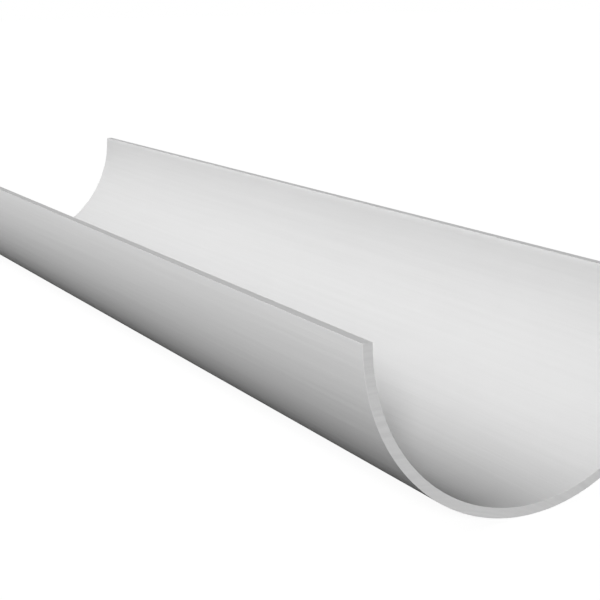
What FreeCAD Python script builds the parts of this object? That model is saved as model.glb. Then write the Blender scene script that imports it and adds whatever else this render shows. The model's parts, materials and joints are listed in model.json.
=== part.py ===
"""Half-round rain gutter: one plain length of rigid PVC channel, extruded in one piece.

The section is half a ring of even wall, open at the top. Both rims are flat and level, and
their long edges carry the small rounding that the extrusion die leaves. Both ends are sawn
square and left sharp. There is no bead, lip, socket or stiffener.

Frame, in millimetres: +X runs along the gutter, +Y across it, and +Z up, towards the open
side. The origin is midway along the length, at the lowest point of the outside of the
section, where the gutter touches the floor when it is laid down open side up.
"""

import FreeCAD, Part
import os

# Driving dimensions, in millimetres.
INSIDE_WIDTH = 125.0       # across the channel between the rims: the nominal size it is sold by
WALL = 3.4                 # even all round the section
LENGTH = 500.0             # between the two sawn ends
RIM_EDGE_RADIUS = 0.15     # rounding of the four long edges of the rims

# Worked out from them.
inside_radius = INSIDE_WIDTH / 2
outside_radius = inside_radius + WALL
rim_height = outside_radius                       # the rims are level with the half ring's centre
rim_rounding = min(RIM_EDGE_RADIUS, 0.4 * WALL)   # two of them always fit on one wall

PARTS_FOLDER = "parts"
SAME_PLACE = 1e-6          # two heights or lengths closer than this are the same


def half_circle(radius, x):
    """The lower half of a circle about the centre line, in the cross-section plane at x."""
    left_rim = FreeCAD.Vector(x, -radius, rim_height)
    lowest_point = FreeCAD.Vector(x, 0, rim_height - radius)
    right_rim = FreeCAD.Vector(x, radius, rim_height)
    return Part.Arc(left_rim, lowest_point, right_rim).toShape()


def rim_top(side, x):
    """The flat top of one rim across the wall; side is -1 for the left rim and +1 for the right."""
    outer_edge = FreeCAD.Vector(x, side * outside_radius, rim_height)
    inner_edge = FreeCAD.Vector(x, side * inside_radius, rim_height)
    return Part.LineSegment(outer_edge, inner_edge).toShape()


def channel_section(x):
    """The half-ring cross-section at x, as a face."""
    outline = [
        half_circle(outside_radius, x),
        rim_top(1, x),
        half_circle(inside_radius, x),
        rim_top(-1, x),
    ]
    return Part.Face(Part.Wire(outline))


def is_long_rim_edge(edge):
    """True for a straight edge at rim height that runs the whole length of the gutter."""
    at_rim_height = all(abs(vertex.Z - rim_height) < SAME_PLACE for vertex in edge.Vertexes)
    return at_rim_height and abs(edge.Length - LENGTH) < SAME_PLACE


def make_gutter():
    """The section drawn out along the whole length, with the long edges of its rims rounded."""
    section = channel_section(-LENGTH / 2)
    extrusion = section.extrude(FreeCAD.Vector(LENGTH, 0, 0))
    rim_edges = [edge for edge in extrusion.Edges if is_long_rim_edge(edge)]
    return extrusion.makeFillet(rim_rounding, rim_edges).Solids[0]


def main():
    os.makedirs(PARTS_FOLDER, exist_ok=True)
    gutter = make_gutter()
    gutter.exportStep(os.path.join(PARTS_FOLDER, "half_round_gutter.step"))
    box = gutter.BoundBox
    print(f"half_round_gutter: {gutter.ShapeType}, valid {gutter.isValid()}")
    print(f"  {box.XLength:.1f} long, {box.YLength:.1f} wide, {box.ZLength:.1f} high, in mm")
    print(f"  {len(gutter.Faces)} faces, {gutter.Volume / 1000:.1f} cm3 of solid")


main()
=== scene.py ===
# %% [markdown]
# # A half-round rain gutter
# One plain length of rigid PVC gutter lies on a white studio floor with its open side up. The
# factory pushes soft PVC through a die, cools it in a water bath and saws it to length, so the
# whole object is one section carried along a straight line. The measured model is loaded first,
# because it fixes every size, and the visible gutter is built to fit it exactly.

# %% Load the measured model
import json
import math

import bpy
from mathutils import Matrix, Vector


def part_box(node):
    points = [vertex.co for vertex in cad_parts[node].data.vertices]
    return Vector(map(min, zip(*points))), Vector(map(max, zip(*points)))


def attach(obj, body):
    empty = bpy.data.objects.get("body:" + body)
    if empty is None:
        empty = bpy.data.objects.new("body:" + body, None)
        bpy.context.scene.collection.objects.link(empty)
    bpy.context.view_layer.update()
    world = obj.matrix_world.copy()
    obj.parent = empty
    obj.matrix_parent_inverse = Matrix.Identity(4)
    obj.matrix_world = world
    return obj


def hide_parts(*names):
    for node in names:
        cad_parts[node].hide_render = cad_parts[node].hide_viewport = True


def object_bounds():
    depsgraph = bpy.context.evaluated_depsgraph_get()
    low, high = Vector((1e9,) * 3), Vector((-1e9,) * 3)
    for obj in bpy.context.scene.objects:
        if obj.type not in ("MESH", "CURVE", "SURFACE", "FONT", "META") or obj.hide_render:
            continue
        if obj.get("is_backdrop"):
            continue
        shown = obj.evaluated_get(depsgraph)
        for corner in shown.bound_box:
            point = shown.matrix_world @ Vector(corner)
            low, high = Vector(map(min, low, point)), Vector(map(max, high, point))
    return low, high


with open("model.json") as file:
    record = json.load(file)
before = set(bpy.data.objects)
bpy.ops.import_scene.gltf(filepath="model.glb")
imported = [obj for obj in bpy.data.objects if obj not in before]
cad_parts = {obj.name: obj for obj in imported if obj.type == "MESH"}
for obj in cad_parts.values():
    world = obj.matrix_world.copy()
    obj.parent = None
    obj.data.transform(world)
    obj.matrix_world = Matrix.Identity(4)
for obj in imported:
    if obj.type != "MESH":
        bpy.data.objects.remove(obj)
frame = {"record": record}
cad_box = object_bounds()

NODE = "half_round_gutter"
BODY = "root"

# %% [markdown]
# ## Sizes
# A half-round gutter has three main sizes: its length, the radius of the channel and the wall.
# Length and outside radius are read from the measured model's box. The radius of the channel comes
# from the record, where it is given in millimetres for whoever makes a clip or a joint to fit it.
# What is left between the two radii is the wall.

# %% Read the sizes
MM = 0.001
low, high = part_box(NODE)
length = high.x - low.x
outside_radius = high.z - low.z
channel = next(mount for mount in frame["record"]["mounts"] if mount["name"] == "channel")
inside_radius = channel["dims"]["r_mm"] * MM
wall = outside_radius - inside_radius
print(f"length {length / MM:.1f} mm, inside radius {inside_radius / MM:.1f} mm")
print(f"wall {wall / MM:.2f} mm")

# %% [markdown]
# ## Helpers for node trees
# In Blender a shape that follows a rule and a finish are both drawn as node trees. Three short
# helpers keep those readable: one adds a node and fills its sockets, either with values or with
# links from other nodes, one does a sum, and one takes a vector apart.


# %% Node helpers
def add_node(tree, kind, settings=None, inputs=None):
    """A new node, with its own settings by name and its sockets by name or number."""
    made = tree.nodes.new(kind)
    for name, value in (settings or {}).items():
        setattr(made, name, value)
    for name, value in (inputs or {}).items():
        if isinstance(value, bpy.types.NodeSocket):
            tree.links.new(value, made.inputs[name])
        else:
            made.inputs[name].default_value = value
    return made


def maths(tree, operation, first, second=0.0):
    """What a Math node makes of one or two values."""
    return add_node(tree, "ShaderNodeMath", {"operation": operation}, {0: first, 1: second}).outputs[0]


def apart(tree, vector):
    """The X, Y and Z outputs of a vector."""
    return add_node(tree, "ShaderNodeSeparateXYZ", inputs={0: vector}).outputs


# %% [markdown]
# ## The finish
# Rigid PVC for gutters is filled with chalk and white pigment, so it is opaque, pale and nearly
# matt. Two tools have touched this piece. The die has drawn very fine lines along the skin, and
# the saw has left curved scratches on the two cut ends. A flat colour would look like card, so the
# skin and the ends each get a material with the marks of their own tool.
#
# Every pattern reads Object coordinates. The gutter's object sits at the origin, so they are plain
# metres, and the pattern stays on the plastic whatever is done to the mesh. Neutral grey needs no
# colour nodes: one number wired to a colour socket is a grey.


# %% Helpers that start a finish
LIGHT_GREY = 0.80
LOW_GLOSS = 0.01


def plastic(name):
    """A new material: its tree, its shader and the place on the object in metres."""
    material = bpy.data.materials.new(name)
    material.use_nodes = True
    tree = material.node_tree
    shader = tree.nodes["Principled BSDF"]
    shader.inputs["Specular IOR Level"].default_value = LOW_GLOSS
    place = add_node(tree, "ShaderNodeTexCoord").outputs["Object"]
    return material, tree, shader, place


def between(tree, value, least, most, source=(0.0, 1.0)):
    """Turns a value in the source range into one from least to most."""
    ends = {"From Min": source[0], "From Max": source[1], "To Min": least, "To Max": most}
    return add_node(tree, "ShaderNodeMapRange", inputs={"Value": value, **ends}).outputs["Result"]


print("grey", LIGHT_GREY, "gloss level", LOW_GLOSS)

# %% [markdown]
# The marks of the tools are made of noise. Blender's noise seldom leaves the range from 0.3 to 0.7,
# so that range is stretched to run from 0 to 1, and a depth of a hundredth of a millimetre then
# means just that. A shader takes one bump, so the layers of marks are added up into one height.
# The Bump node's distance is one metre, which makes that height a plain depth in metres.

# %% Helpers that make marks
NOISE_RANGE = (0.3, 0.7)


def noise(tree, place, size, detail=2.0, stretch=(1.0, 1.0, 1.0)):
    """Noise from 0 to 1 with patches about size metres wide, and longer where stretch is below 1."""
    spread = add_node(tree, "ShaderNodeVectorMath", {"operation": "MULTIPLY"}, {0: place, 1: stretch})
    settings = {"Vector": spread.outputs[0], "Scale": 1.0 / size, "Detail": detail}
    raw = add_node(tree, "ShaderNodeTexNoise", inputs=settings).outputs["Fac"]
    return between(tree, raw, 0.0, 1.0, NOISE_RANGE)


def relief(tree, shader, *layers):
    """Wires a bump made of layers, each a height from 0 to 1 and its depth in metres."""
    height = maths(tree, "MULTIPLY", *layers[0])
    for layer in layers[1:]:
        height = maths(tree, "ADD", height, maths(tree, "MULTIPLY", *layer))
    bump = add_node(tree, "ShaderNodeBump", inputs={"Height": height, "Distance": 1.0})
    tree.links.new(bump.outputs["Normal"], shader.inputs["Normal"])


print("noise from", NOISE_RANGE[0], "to", NOISE_RANGE[1], "is stretched to run from 0 to 1")

# %% [markdown]
# ### Extruded skin
# Four things can be seen on the skin of an extrusion when light skims it. The lines of the die run
# the whole length and hardly change along it, so their noise is stretched fifty times along X. The
# cooling bath leaves long shallow waves, a finger wide, made by the same noise at a larger size. A
# very fine noise is the matt bloom of PVC. The fourth is the uneven mix of the pigment, as wide as
# a hand, which shifts the colour by a percent or two, as the die lines do. No layer of the relief
# is as deep as a tenth of a millimetre, so it is left to bump: as geometry it would only cost
# points.

# %% Make the extruded skin
ALONG = (0.02, 1.0, 1.0)
DIE_LINE_WIDTH = 2.0 * MM
DIE_LINE_DEPTH = 0.035 * MM
WAVE_WIDTH = 18.0 * MM
WAVE_DEPTH = 0.080 * MM
BLOOM_WIDTH = 0.3 * MM
BLOOM_DEPTH = 0.006 * MM
CLOUD_WIDTH = 80.0 * MM
SKIN_SHADES = (LIGHT_GREY - 0.02, LIGHT_GREY + 0.02)
SKIN_ROUGHNESS = (0.76, 0.90)
skin, tree, shader, place = plastic("extruded_pvc")
die_lines = noise(tree, place, DIE_LINE_WIDTH, detail=3.0, stretch=ALONG)
waves = noise(tree, place, WAVE_WIDTH, detail=0.0, stretch=ALONG)
bloom = noise(tree, place, BLOOM_WIDTH)
clouds = noise(tree, place, CLOUD_WIDTH, detail=1.0, stretch=ALONG)
mixed = maths(tree, "MULTIPLY", maths(tree, "ADD", clouds, die_lines), 0.5)
tree.links.new(between(tree, mixed, *SKIN_SHADES), shader.inputs["Base Color"])
tree.links.new(between(tree, die_lines, *SKIN_ROUGHNESS), shader.inputs["Roughness"])
relief(tree, shader, (die_lines, DIE_LINE_DEPTH), (waves, WAVE_DEPTH), (bloom, BLOOM_DEPTH))
print("skin nodes:", len(tree.nodes))

# %% [markdown]
# ### Sawn ends
# A circular saw leaves arcs as wide as its blade. A Wave texture can draw rings, but evenly spaced
# ones, and the scratches of a saw are not. All points of one arc are equally far from any point of
# the blade's axle, so that distance alone drives a one-dimensional noise. The axle lay below the
# gutter here, and its point halfway between the two cuts serves both of them. Seen from so far off,
# the distance grows only about half as fast as it does across the end, so a scratch comes out about
# twice as wide as its number. Torn plastic is paler in one scratch and darker in the next, and it
# scatters more light than the skin, so the ends are a little rougher.

# %% Make the sawn ends
ON_THE_AXLE = (0.0, -0.06, -0.11)
SCRATCH_WIDTH = 0.9 * MM
SCRATCH_DEPTH = 0.040 * MM
END_SHADES = (LIGHT_GREY - 0.03, LIGHT_GREY + 0.03)
END_ROUGHNESS = (0.80, 0.95)
sawn, tree, shader, place = plastic("sawn_pvc")
from_axle = add_node(
    tree, "ShaderNodeVectorMath", {"operation": "DISTANCE"}, {0: place, 1: ON_THE_AXLE}
).outputs["Value"]
raw = add_node(
    tree,
    "ShaderNodeTexNoise",
    {"noise_dimensions": "1D"},
    {"W": from_axle, "Scale": 1.0 / SCRATCH_WIDTH, "Detail": 3.0},
).outputs["Fac"]
scratches = between(tree, raw, 0.0, 1.0, NOISE_RANGE)
tree.links.new(between(tree, scratches, *END_SHADES), shader.inputs["Base Color"])
tree.links.new(between(tree, scratches, *END_ROUGHNESS), shader.inputs["Roughness"])
relief(tree, shader, (scratches, SCRATCH_DEPTH), (noise(tree, place, BLOOM_WIDTH), BLOOM_DEPTH))
print("sawn end nodes:", len(tree.nodes))

# %% [markdown]
# ## The gutter's shape
# The section is half a ring, and the gutter is that section carried along a line. A cylinder cut
# in half and hollowed would look the same, but its sizes would be buried in mesh edits. A Geometry
# Nodes tree states the rule instead. A flat grid, many cells wide and one cell deep, is bent into
# the half ring: its width runs round the section and its depth goes through the wall. The half
# ring is then pushed along the gutter. Each size is a named input, so another gutter is a few new
# numbers.

# %% Name the tree's inputs
gutter_rule = bpy.data.node_groups.new("half_round_extrusion", "GeometryNodeTree")
SOCKET_KINDS = {
    "Length": "NodeSocketFloat",
    "Inside radius": "NodeSocketFloat",
    "Wall": "NodeSocketFloat",
    "Steps round the arc": "NodeSocketInt",
    "Rounding of the cut": "NodeSocketFloat",
    "Skin": "NodeSocketMaterial",
    "Cut end": "NodeSocketMaterial",
}
for name, kind in SOCKET_KINDS.items():
    gutter_rule.interface.new_socket(name, in_out="INPUT", socket_type=kind)
gutter_rule.interface.new_socket("Gutter", in_out="OUTPUT", socket_type="NodeSocketGeometry")
given = add_node(gutter_rule, "NodeGroupInput").outputs
print("inputs:", ", ".join(SOCKET_KINDS))

# %% [markdown]
# The grid is one unit square about its middle. Its X runs from -0.5 to 0.5, and adding 1.5 makes
# half turns of it: one at the left rim, one and a half at the lowest point and two at the right
# rim. Its Y is turned into the radius, from the inside to the outside of the wall. Height is
# counted up from the lowest point of the outside, where the gutter touches the floor.

# %% Bend a grid into the half ring at the back end
around = maths(gutter_rule, "ADD", given["Steps round the arc"], 1.0)
grid = add_node(
    gutter_rule,
    "GeometryNodeMeshGrid",
    inputs={"Size X": 1.0, "Size Y": 1.0, "Vertices X": around, "Vertices Y": 2},
)
on_grid = apart(gutter_rule, add_node(gutter_rule, "GeometryNodeInputPosition").outputs[0])
angle = maths(gutter_rule, "MULTIPLY", maths(gutter_rule, "ADD", on_grid["X"], 1.5), math.pi)
depth = maths(gutter_rule, "MULTIPLY", maths(gutter_rule, "ADD", on_grid["Y"], 0.5), given["Wall"])
radius = maths(gutter_rule, "ADD", given["Inside radius"], depth)
rim_height = maths(gutter_rule, "ADD", given["Inside radius"], given["Wall"])
across = maths(gutter_rule, "MULTIPLY", radius, maths(gutter_rule, "COSINE", angle))
below_rims = maths(gutter_rule, "MULTIPLY", radius, maths(gutter_rule, "SINE", angle))
on_section = {
    "X": maths(gutter_rule, "MULTIPLY", given["Length"], -0.5),
    "Y": across,
    "Z": maths(gutter_rule, "ADD", rim_height, below_rims),
}
half_ring = add_node(
    gutter_rule,
    "GeometryNodeSetPosition",
    inputs={
        "Geometry": grid.outputs["Mesh"],
        "Position": add_node(gutter_rule, "ShaderNodeCombineXYZ", inputs=on_section).outputs[0],
    },
).outputs[0]
print("nodes that bend the grid:", len(gutter_rule.nodes))

# %% [markdown]
# Extrude Mesh moves a face and builds walls behind it, and it leaves nothing where the face was.
# That is how the die works too, but a gutter needs a cut end at the back as well as at the front.
# So the half ring is used twice: one copy is turned over, to face forward, and pushed along the
# gutter, and the other stays where it is and closes the back. The two meet point for point, and
# Merge by Distance welds them into one closed skin with no seam.

# %% Push the half ring along the gutter and close the back
SEAM = 0.01 * MM
facing_forward = add_node(gutter_rule, "GeometryNodeFlipFaces", inputs={"Mesh": half_ring}).outputs[0]
pushed = add_node(
    gutter_rule,
    "GeometryNodeExtrudeMesh",
    inputs={
        "Mesh": facing_forward,
        "Offset": (1.0, 0.0, 0.0),
        "Offset Scale": given["Length"],
        "Individual": False,
    },
).outputs["Mesh"]
joined = add_node(gutter_rule, "GeometryNodeJoinGeometry")
for part in (pushed, half_ring):
    gutter_rule.links.new(part, joined.inputs[0])
closed = add_node(
    gutter_rule,
    "GeometryNodeMergeByDistance",
    inputs={"Geometry": joined.outputs[0], "Distance": SEAM},
).outputs[0]
print("points closer than", SEAM / MM, "mm are welded")

# %% [markdown]
# The die leaves a small rounding on the four long edges of the rims, while the edges of a saw cut
# are sharper. A Bevel modifier can round both, if each edge carries a weight that says how much it
# wants. The tree works the weight out: an edge between two faces that meet at a right angle is a
# corner, and a corner whose two points differ in X is one of the long ones.

# %% Weigh the edges for rounding
CORNER_ANGLE = math.radians(60.0)
bend = add_node(gutter_rule, "GeometryNodeInputMeshEdgeAngle").outputs["Unsigned Angle"]
ends = add_node(gutter_rule, "GeometryNodeInputMeshEdgeVertices").outputs
start_x = apart(gutter_rule, ends["Position 1"])["X"]
stop_x = apart(gutter_rule, ends["Position 2"])["X"]
run = maths(gutter_rule, "ABSOLUTE", maths(gutter_rule, "SUBTRACT", stop_x, start_x))
is_long = maths(gutter_rule, "GREATER_THAN", run, SEAM)
is_corner = maths(gutter_rule, "GREATER_THAN", bend, CORNER_ANGLE)
share = maths(gutter_rule, "MAXIMUM", is_long, given["Rounding of the cut"])
weighed = add_node(
    gutter_rule,
    "GeometryNodeStoreNamedAttribute",
    {"data_type": "FLOAT", "domain": "EDGE"},
    {
        "Geometry": closed,
        "Name": "bevel_weight_edge",
        "Value": maths(gutter_rule, "MULTIPLY", is_corner, share),
    },
).outputs[0]
print("an edge is a corner from", round(math.degrees(CORNER_ANGLE)), "degrees")

# %% [markdown]
# The round walls are made of flat strips, and smooth shading hides the joints between them. The
# finishes go on last. The skin is given to everything, and the cut end then replaces it on the
# faces that look along X. The choice is made from the direction of the face, so it still holds
# when the sizes change. Realize Instances comes before them and turns instances into real faces.
# This rule has none, but a reader may add some, and a mesh made from the result would drop them.

# %% Shade it smooth and hand out the two finishes
FACING_END = 0.9
smooth = add_node(gutter_rule, "GeometryNodeSetShadeSmooth", inputs={"Geometry": weighed}).outputs[0]
facing = apart(gutter_rule, add_node(gutter_rule, "GeometryNodeInputNormal").outputs[0])
is_cut = maths(gutter_rule, "GREATER_THAN", maths(gutter_rule, "ABSOLUTE", facing["X"]), FACING_END)
plain = add_node(gutter_rule, "GeometryNodeRealizeInstances", inputs={"Geometry": smooth}).outputs[0]
skinned = add_node(
    gutter_rule, "GeometryNodeSetMaterial", inputs={"Geometry": plain, "Material": given["Skin"]}
).outputs[0]
finished = add_node(
    gutter_rule,
    "GeometryNodeSetMaterial",
    inputs={"Geometry": skinned, "Selection": is_cut, "Material": given["Cut end"]},
).outputs[0]
add_node(gutter_rule, "NodeGroupOutput", inputs={"Gutter": finished})
print("nodes in the rule:", len(gutter_rule.nodes))

# %% [markdown]
# ## Run the rule
# A rule makes nothing until an object carries it. An empty mesh object gets three modifiers in a
# row: the tree, the Bevel that reads the weights, and a Weighted Normal. Smooth shading alone would
# tilt the light on the flat rims and cut ends near their roundings, and the Weighted Normal lets
# the large faces decide, so the flats stay flat. The tree's inputs are set by their identifiers
# before Blender works the object out for the first time.

# %% Modifiers
RIM_ROUNDING = 0.15 * MM
CUT_SHARE = 0.5
ROUNDING_STEPS = 3
ARC_STEPS = 96
INPUTS = {
    "Length": length,
    "Inside radius": inside_radius,
    "Wall": wall,
    "Steps round the arc": ARC_STEPS,
    "Rounding of the cut": CUT_SHARE,
    "Skin": skin,
    "Cut end": sawn,
}
blank = bpy.data.objects.new("blank", bpy.data.meshes.new("blank"))
bpy.context.scene.collection.objects.link(blank)
extrusion = blank.modifiers.new("extrusion", "NODES")
extrusion.node_group = gutter_rule
for socket in gutter_rule.interface.items_tree:
    if socket.in_out == "INPUT":
        extrusion[socket.identifier] = INPUTS[socket.name]
rounding = blank.modifiers.new("rounding", "BEVEL")
rounding.limit_method = "WEIGHT"
rounding.width = RIM_ROUNDING
rounding.segments = ROUNDING_STEPS
blank.modifiers.new("flat_rims", "WEIGHTED_NORMAL")
print("modifiers:", ", ".join(modifier.name for modifier in blank.modifiers))

# %% [markdown]
# ## Turn the result into a plain mesh
# Modifiers are worked out again each time something changes, and other programs can't read them.
# So the finished shape is copied into an ordinary mesh with an object of its own, and the blank
# goes, with its modifiers. Blender gives a grid made by a node an empty first material slot, which
# would confuse whoever repaints the gutter, so it is taken out. Removing the blank's own empty
# mesh removes the object that shows it, too.

# %% Copy the result
shapes = bpy.context.evaluated_depsgraph_get()
gutter_mesh = bpy.data.meshes.new_from_object(
    blank.evaluated_get(shapes), preserve_all_data_layers=True, depsgraph=shapes
)
gutter_mesh.name = "gutter_channel"
gutter_mesh.materials.pop(index=0)
bpy.data.meshes.remove(blank.data)
gutter = bpy.data.objects.new("gutter_channel", gutter_mesh)
bpy.context.scene.collection.objects.link(gutter)
cut_slot = gutter_mesh.materials.find(sawn.name)
cut_faces = sum(face.material_index == cut_slot for face in gutter_mesh.polygons)
print(f"gutter: {len(gutter_mesh.polygons)} faces, {cut_faces} of them in {sawn.name}")

# %% [markdown]
# ## A map of the skin
# A shape that others will reuse should come with a good texture map. This one unrolls almost
# without stretch, like the label of a tin: along the gutter one way, and the other way down the
# outside, over the right rim, round the channel and over the left rim. The two cut ends are half
# rings, and they are straightened into strips beside it. Blender's own unwrapping would cut the
# skin into islands, so the map is worked out from where each point lies. One scale serves the whole
# map.
#
# First comes the way round the section. It starts at the outer edge of the left rim. On the walls
# it is counted along the arcs. Within a millimetre of the rims it is counted across the flat tops
# and their roundings. The middle of a top lies halfway through the wall, and the tops go with the
# inside, so the inside reaches a little past halfway.


# %% Measure round the section
NEAR_RIM = 1.0 * MM
SHARE_OF_INSIDE = 0.6
outer_from = inside_radius + SHARE_OF_INSIDE * wall
outside_run = math.pi * outside_radius
inside_run = math.pi * inside_radius
girth = outside_run + wall + inside_run + wall


def swing_and_reach(point):
    """A point's angle from straight down, and its distance from the middle of the arcs."""
    drop = high.z - point.z
    return math.atan2(point.y, drop), math.hypot(point.y, drop)


def distance_round(point):
    """How far round the section a point lies, from the outer edge of the left rim."""
    swing, reach = swing_and_reach(point)
    drop = high.z - point.z
    on_right = point.y > 0
    if reach > outer_from:
        if drop > NEAR_RIM:
            return outside_radius * (math.pi / 2 + swing)
        past_edge = outside_radius - abs(point.y) - drop
        return outside_run + past_edge if on_right else -past_edge
    if drop > NEAR_RIM:
        return outside_run + wall + inside_radius * (math.pi / 2 - swing)
    before_edge = abs(point.y) - inside_radius - drop
    return outside_run + wall - before_edge if on_right else girth - wall + before_edge


print(f"the skin is {girth / MM:.1f} mm round the section")

# %% [markdown]
# A point of the skin goes to its distance along the gutter and its distance round the section. A
# point on the join of the map has two places, one at each edge, and the middle of the face that
# asks decides which of them it is. The cut ends share one strip beside the skin, with a gap between
# the two.


# %% Find places on the map
END_STRIP_GAP = 8.0 * MM


def place_on_skin(point, middle_round):
    """Where a point of the skin goes on the map; middle_round says on which side of the join."""
    distance = distance_round(point)
    turns = round((middle_round - distance) / girth)
    return high.x - point.x, distance + turns * girth


def place_on_end(point):
    """Where a point of a cut end goes: the +X end lies in the first half of the strip."""
    swing, reach = swing_and_reach(point)
    on_front = point.x > 0
    depth = outside_radius - reach if on_front else reach - inside_radius
    middle_run = (inside_radius + wall / 2) * (math.pi / 2 + swing)
    return middle_run + (0.0 if on_front else length / 2), girth + END_STRIP_GAP + depth


print(f"the ends lie {(girth + END_STRIP_GAP) / MM:.1f} mm up the map")

# %% [markdown]
# The map is filled corner by corner, not point by point, because the faces on the two sides of the
# join want different places for the points that they share. The roundings of a cut are shared out
# between the skin and the end, by the way that each of their faces looks. A small margin keeps the
# map off the borders of the picture.

# %% Write the map
MAP_SPAN = 1.02 * length
MAP_MARGIN = 0.01 * length
FACING_END_ON_MAP = 0.7
unrolled = gutter_mesh.uv_layers.new(name="OFBake")
for face in gutter_mesh.polygons:
    is_end = abs(face.normal.x) > FACING_END_ON_MAP
    middle_round = distance_round(face.center)
    for corner in face.loop_indices:
        point = gutter_mesh.vertices[gutter_mesh.loops[corner].vertex_index].co
        u, v = place_on_end(point) if is_end else place_on_skin(point, middle_round)
        unrolled.uv[corner].vector = ((u + MAP_MARGIN) / MAP_SPAN, (v + MAP_MARGIN) / MAP_SPAN)
across_map = [corner.vector.x for corner in unrolled.uv]
up_map = [corner.vector.y for corner in unrolled.uv]
print(f"the map runs from {min(across_map):.3f} to {max(across_map):.3f} across")
print(f"and from {min(up_map):.3f} to {max(up_map):.3f} up")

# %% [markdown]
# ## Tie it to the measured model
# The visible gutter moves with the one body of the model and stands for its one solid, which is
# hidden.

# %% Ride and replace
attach(gutter, BODY)
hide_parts(NODE)

# %% [markdown]
# ## White ground
# A product picture wants a plain white ground, but turning the lamps up until the floor is white
# would burn out the pale plastic. So the floor and the world are white by themselves, and only
# where they are looked at directly, in a gloss or through glass. The Light Path node tells such
# rays apart from the soft light that bounces about. The two helpers here serve both.


# %% Helpers for a white ground
def seen_directly(tree):
    """1 for rays from the camera, from a gloss and through glass, and 0 for others."""
    path = add_node(tree, "ShaderNodeLightPath").outputs
    seen = maths(tree, "MAXIMUM", path["Is Camera Ray"], path["Is Glossy Ray"])
    return maths(tree, "MAXIMUM", seen, path["Is Transmission Ray"])


def grey(value):
    """A neutral colour for a socket."""
    return (value, value, value, 1.0)


print("white for a socket is", grey(1.0))

# %% [markdown]
# ### Floor
# The gutter lies on a studio table. The floor glows almost white, and a thin coat of paint over
# the glow, which the lamps light, brings it to full white and dims where the gutter shades it: that
# is the soft shadow. For light that bounces on to the gutter, the Mix Shader's first shader is left
# out, which makes the floor black, as when a table is masked with black card, because the underside
# of a gutter that is seen from above should stay in shade.

# %% Lay the floor
FLOOR_HALF = 6.0
FLOOR_GLOW = 0.92
FLOOR_PAINT = 0.16
sides = (-FLOOR_HALF, FLOOR_HALF)
corners = [(x, y, low.z) for x in sides for y in sides]
floor_mesh = bpy.data.meshes.new("floor")
floor_mesh.from_pydata(corners, [], [(0, 2, 3, 1)])
floor = bpy.data.objects.new("floor", floor_mesh)
bpy.context.scene.collection.objects.link(floor)
floor_finish = bpy.data.materials.new("studio_floor")
floor_finish.use_nodes = True
tree = floor_finish.node_tree
tree.nodes.clear()
glow = add_node(tree, "ShaderNodeEmission", inputs={"Color": grey(1.0), "Strength": FLOOR_GLOW})
paint = add_node(tree, "ShaderNodeBsdfDiffuse", inputs={"Color": grey(FLOOR_PAINT)})
white = add_node(tree, "ShaderNodeAddShader", inputs={0: glow.outputs[0], 1: paint.outputs[0]})
shown = add_node(tree, "ShaderNodeMixShader", inputs={0: seen_directly(tree), 2: white.outputs[0]})
add_node(tree, "ShaderNodeOutputMaterial", inputs={"Surface": shown.outputs[0]})
floor_mesh.materials.append(floor_finish)
floor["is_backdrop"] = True
print("floor:", 2 * FLOOR_HALF, "m square at height", round(low.z, 4))

# %% [markdown]
# ### World
# Beyond the floor lies the world, which a studio would call the room. It is plain white to look
# at. As a light it is very dim and comes from all round, so it only keeps the deepest shade from
# going black, as the pale walls of a room do.

# %% Surround it with a pale world
WORLD_FILL = 0.01
world = bpy.data.worlds.new("studio")
world.use_nodes = True
bpy.context.scene.world = world
tree = world.node_tree
tree.nodes.clear()
fill = add_node(tree, "ShaderNodeBackground", inputs={"Color": grey(1.0), "Strength": WORLD_FILL})
backdrop = add_node(tree, "ShaderNodeBackground", inputs={"Color": grey(1.0), "Strength": 1.0})
sky = {0: seen_directly(tree), 1: fill.outputs[0], 2: backdrop.outputs[0]}
shown = add_node(tree, "ShaderNodeMixShader", inputs=sky)
add_node(tree, "ShaderNodeOutputWorld", inputs={"Surface": shown.outputs[0]})
print("the world lights the gutter at", WORLD_FILL)

# %% [markdown]
# ## Lamps
# Distant lamps light a long thing evenly from end to end. Strengths are given as the share of full
# white that each lamp alone would give a white surface that faces it. The key stands low off the
# near end. The channel lamp looks down over the near rim into the shade that the rim throws. Both
# look wide from the gutter, which makes their shadows soft. On the far wall of the channel, which
# both light well, they come to nearly nine tenths together. Light that bounces about in the channel
# makes up the rest, so that the plastic renders about as its colour is written. The other three are
# narrow and stand half a degree above the floor, where they skim the rims and hardly reach into the
# channel: a weak one brightens the top of the near side, and two stronger ones light the far side
# and the far end.


# %% Set up the lamps
LAMP_DISTANCE = 2.0


def towards(azimuth, elevation):
    """The way from the gutter to a place in the studio: 0 is off its near side, 90 off its +X end."""
    turn = math.radians(azimuth)
    rise = math.radians(elevation)
    return Vector((math.sin(turn) * math.cos(rise), -math.cos(turn) * math.cos(rise), math.sin(rise)))


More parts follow.
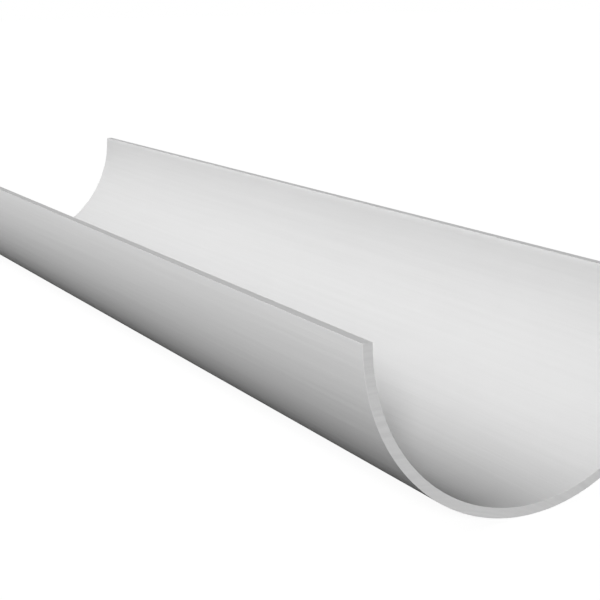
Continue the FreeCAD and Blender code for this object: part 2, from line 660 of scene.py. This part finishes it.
def soft_lamp(name, azimuth, elevation, width, share):
    """A distant lamp that looks width degrees wide from the gutter."""
    data = bpy.data.lights.new(name, "SUN")
    data.energy = share * math.pi
    data.angle = math.radians(width)
    lamp = bpy.data.objects.new(name, data)
    lamp.rotation_mode = "QUATERNION"
    lamp.rotation_quaternion = towards(azimuth, elevation).to_track_quat("Z", "Y")
    lamp.location = LAMP_DISTANCE * towards(azimuth, elevation)
    bpy.context.scene.collection.objects.link(lamp)
    print(name, "at", azimuth, elevation, "gives", share)


soft_lamp("key_lamp", 55.0, 25.0, 15.0, 0.85)
soft_lamp("channel_lamp", -10.0, 43.0, 30.0, 0.30)
soft_lamp("side_lamp", 0.0, 0.5, 1.0, 0.09)
soft_lamp("back_lamp", 180.0, 0.5, 1.0, 0.7)
soft_lamp("far_end_lamp", -90.0, 0.5, 1.0, 0.5)

# %% [markdown]
# ## Camera
# The camera stands low off the near end and looks back along the gutter, so that the channel
# opens towards it. Its place is given from the gutter: how far beyond the near end, how far to the
# near side and how high. A longish lens keeps the far end from shrinking too much.

# %% Set up the camera
CAMERA_BEYOND_END = 0.276
CAMERA_TO_THE_SIDE = 0.250
CAMERA_HEIGHT = 0.162
CAMERA_AZIMUTH = 59.29
CAMERA_ELEVATION = 14.12
CAMERA_ROLL = -0.38
LENS = 74.5
NEAREST_SEEN = 0.01
camera_data = bpy.data.cameras.new("camera")
camera_data.lens = LENS
camera_data.clip_start = NEAREST_SEEN
camera = bpy.data.objects.new("camera", camera_data)
camera.location = (high.x + CAMERA_BEYOND_END, -CAMERA_TO_THE_SIDE, low.z + CAMERA_HEIGHT)
camera.rotation_mode = "QUATERNION"
level = towards(CAMERA_AZIMUTH, CAMERA_ELEVATION).to_track_quat("Z", "Y")
roll = Matrix.Rotation(math.radians(CAMERA_ROLL), 3, "Z").to_quaternion()
camera.rotation_quaternion = level @ roll
bpy.context.scene.collection.objects.link(camera)
bpy.context.scene.camera = camera
bpy.context.scene.view_settings.view_transform = "Standard"
print("camera at", [round(value, 4) for value in camera.location])

# %% [markdown]
# ## Compare the sizes
# The visible gutter has to fill the same box as the measured one, and both boxes are written out.

# %% Finish
visual_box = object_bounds()
boxes = [[list(corner) for corner in box] for box in (cad_box, visual_box)]
for name, box in zip(("measured", "visible"), boxes):
    print(name, "box in mm:", [[round(value / MM, 2) for value in corner] for corner in box])
